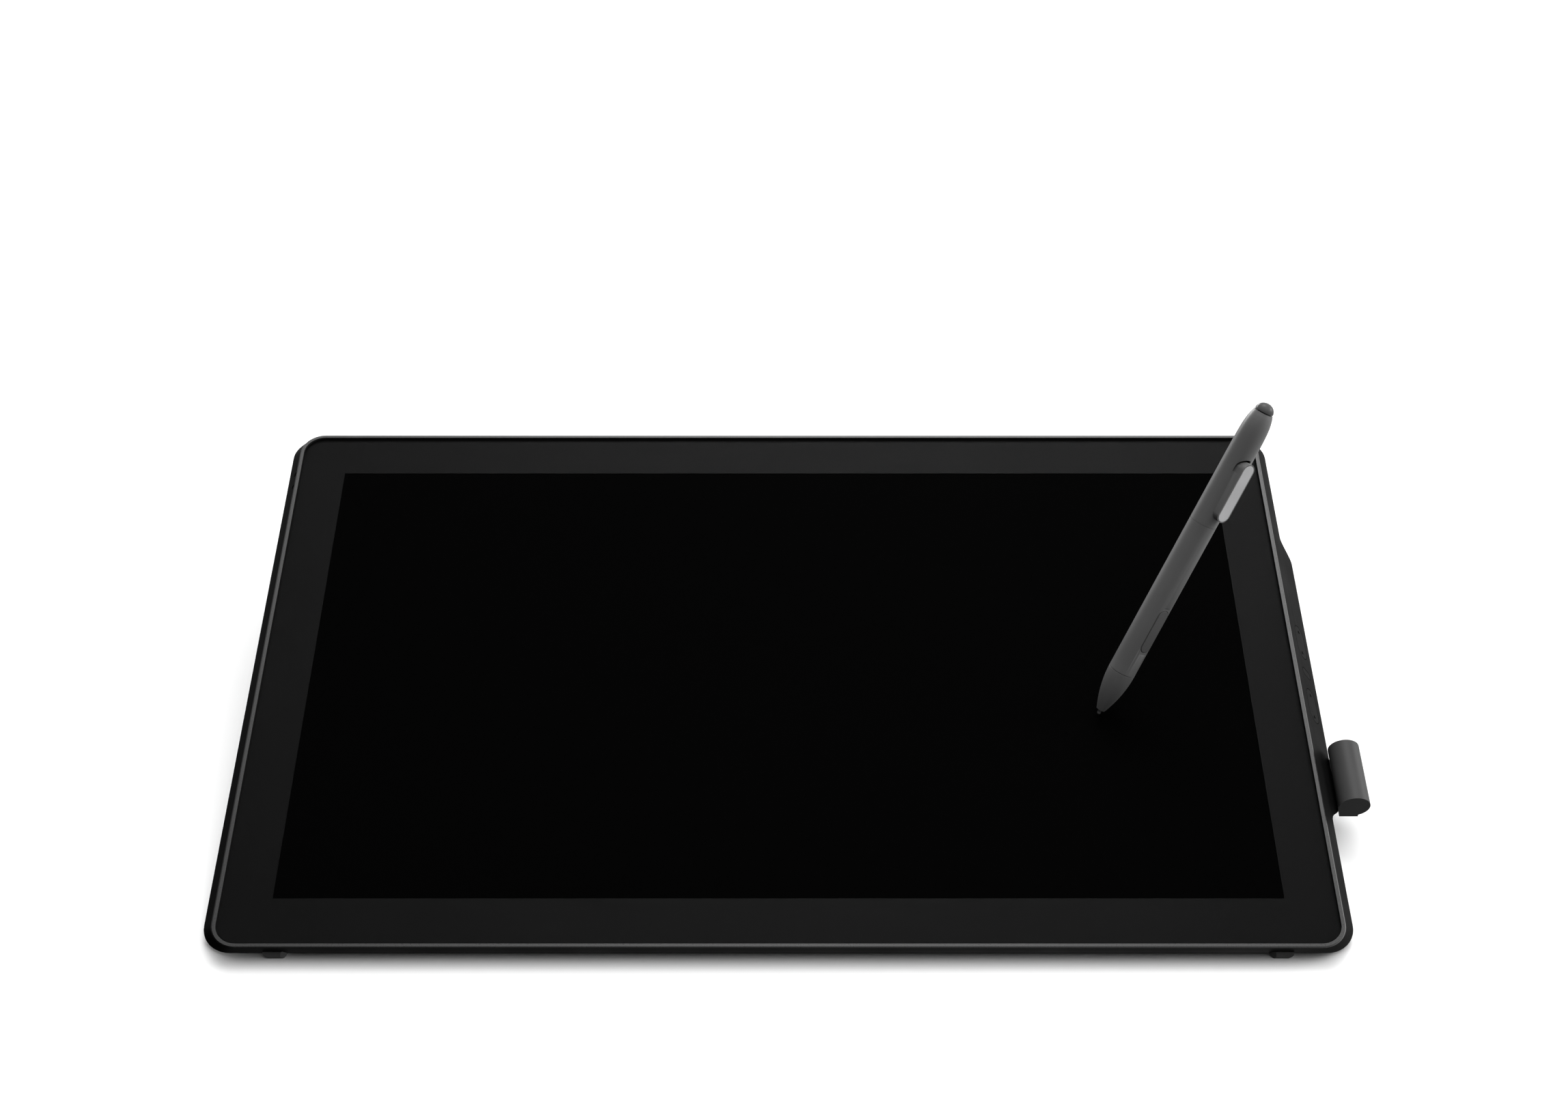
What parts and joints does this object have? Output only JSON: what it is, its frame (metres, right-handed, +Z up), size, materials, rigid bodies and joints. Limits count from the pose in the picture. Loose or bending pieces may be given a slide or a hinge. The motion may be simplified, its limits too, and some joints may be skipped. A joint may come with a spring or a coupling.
{
  "type": "pen drawing tablet",
  "caption": "Pen display tablet leaning on a folding rear stand, with rocker buttons in its right side, a tubular pen holder, and a clip pen with its nib on the glass.",
  "frame": {"origin": "on the table, under the middle of the whole part's box", "axes": "+X to the user's right along the screen, +Y away from the user, +Z up"},
  "size_m": [0.6204, 0.3478, 0.2293],
  "materials": {
    "glass": "fine anti-glare",
    "border_ink": "satin black print",
    "trim": "satin grey",
    "casing": "fine texture",
    "lcd": "dark polarizer",
    "guide": "clear acrylic",
    "led": "white",
    "sheet_steel": "zinc plated",
    "screw": "black oxide",
    "boss_steel": "plated",
    "circuit_board": "solder mask",
    "aluminium": "milled",
    "brass": "plain",
    "socket_steel": "nickel plated",
    "flat_cable": "polyimide film",
    "inner_plastic": "moulded",
    "foot_rubber": "moulded",
    "holder": "fine texture",
    "stand_metal": "powder coated",
    "pin_steel": "ground",
    "button": "fine texture",
    "pen_nose": "soft",
    "pen_body": "soft touch",
    "badge": "satin, plain",
    "coil": "enamelled wire on ferrite",
    "pen_switch": "fine texture",
    "nib": "polished",
    "pen_tail": "polished"
  },
  "bodies": {
    "tablet": {"cover_glass": "glass", "border_mask": "border_ink", "trim_ring": "trim", "front_bezel": "casing", "rear_cover": "casing", "lcd_panel": "lcd", "light_guide": "guide", "led_bar": "led", "panel_tray": "sheet_steel", "digitizer_board": "circuit_board", "shield_plate": "sheet_steel", "chassis_plate": "sheet_steel", "chassis_screws": "screw", "vesa_bosses": "boss_steel", "stand_posts": "boss_steel", "main_board": "circuit_board", "heat_spreader": "aluminium", "io_board": "circuit_board", "board_standoffs": "brass", "board_screws": "screw", "port_sockets": "socket_steel", "panel_cable": "flat_cable", "digitizer_cable": "flat_cable", "board_cable": "flat_cable", "button_board": "circuit_board", "button_frame": "inner_plastic", "tactile_switches": "inner_plastic", "button_cable": "flat_cable", "cover_screws": "screw", "front_feet": "foot_rubber", "pen_holder": "holder", "holder_screws": "screw", "stand_brackets": "stand_metal", "bracket_screws": "screw", "hinge_pins": "pin_steel", "pin_clips": "screw", "friction_washers": "brass", "rocker_pins": "pin_steel"},
    "stand": {"stand_leg": "stand_metal", "stand_feet": "foot_rubber"},
    "upper_rocker": {"upper_rocker": "button"},
    "lower_rocker": {"lower_rocker": "button"},
    "centre_button": {"centre_button": "button"},
    "pen": {"pen_nose": "pen_nose", "pen_front_barrel": "pen_body", "pen_rear_barrel": "pen_body", "pen_badge": "badge", "pen_coil": "coil", "pen_sensor": "inner_plastic", "pen_board": "circuit_board", "pen_switch_pin": "pin_steel"},
    "pen_nib": {"pen_nib": "nib"},
    "pen_side_switch": {"pen_side_switch": "pen_switch"},
    "pen_eraser": {"pen_eraser": "pen_tail"}
  },
  "joints": [
    {"name": "stand_tilt", "type": "hinge", "parent": "tablet", "child": "stand", "pos_m": [-0.01117, 0.01362, 0.01579], "axis": [-1, 0, 0], "range_deg": [0, 85]},
    {"name": "upper_rocker_tip", "type": "hinge", "parent": "tablet", "child": "upper_rocker", "pos_m": [0.2857, 0.02565, 0.0613], "axis": [0.5585, 0.2563, -0.7889], "range_deg": [-2.5, 2.5], "stiffness_Nm_per_rad": 0.3},
    {"name": "lower_rocker_tip", "type": "hinge", "parent": "tablet", "child": "lower_rocker", "pos_m": [0.2857, -0.01715, 0.04739], "axis": [0.5585, 0.2563, -0.7889], "range_deg": [-2.5, 2.5], "stiffness_Nm_per_rad": 0.3},
    {"name": "centre_button_press", "type": "slide", "parent": "tablet", "child": "centre_button", "axis": [-0.8295, 0.1726, -0.5312], "range_m": [0, 0.00045], "stiffness_N_per_m": 4000},
    {"name": "pen_lift", "type": "slide", "parent": "tablet", "child": "pen", "axis": [0.4208, 0.2213, 0.8797], "range_m": [0, 0.12]},
    {"name": "nib_press", "type": "slide", "parent": "pen", "child": "pen_nib", "axis": [0.4208, 0.2213, 0.8797], "range_m": [0, 0.0005], "stiffness_N_per_m": 2000},
    {"name": "pen_switch_tip", "type": "hinge", "parent": "pen", "child": "pen_side_switch", "pos_m": [0.1917, -0.02612, 0.10763], "axis": [0.7679, 0.4294, -0.4753], "range_deg": [-2.3, 2.3], "stiffness_Nm_per_rad": 0.2},
    {"name": "eraser_press", "type": "slide", "parent": "pen", "child": "pen_eraser", "axis": [-0.4208, -0.2213, -0.8797], "range_m": [0, 0.0005], "stiffness_N_per_m": 3000}
  ]
}
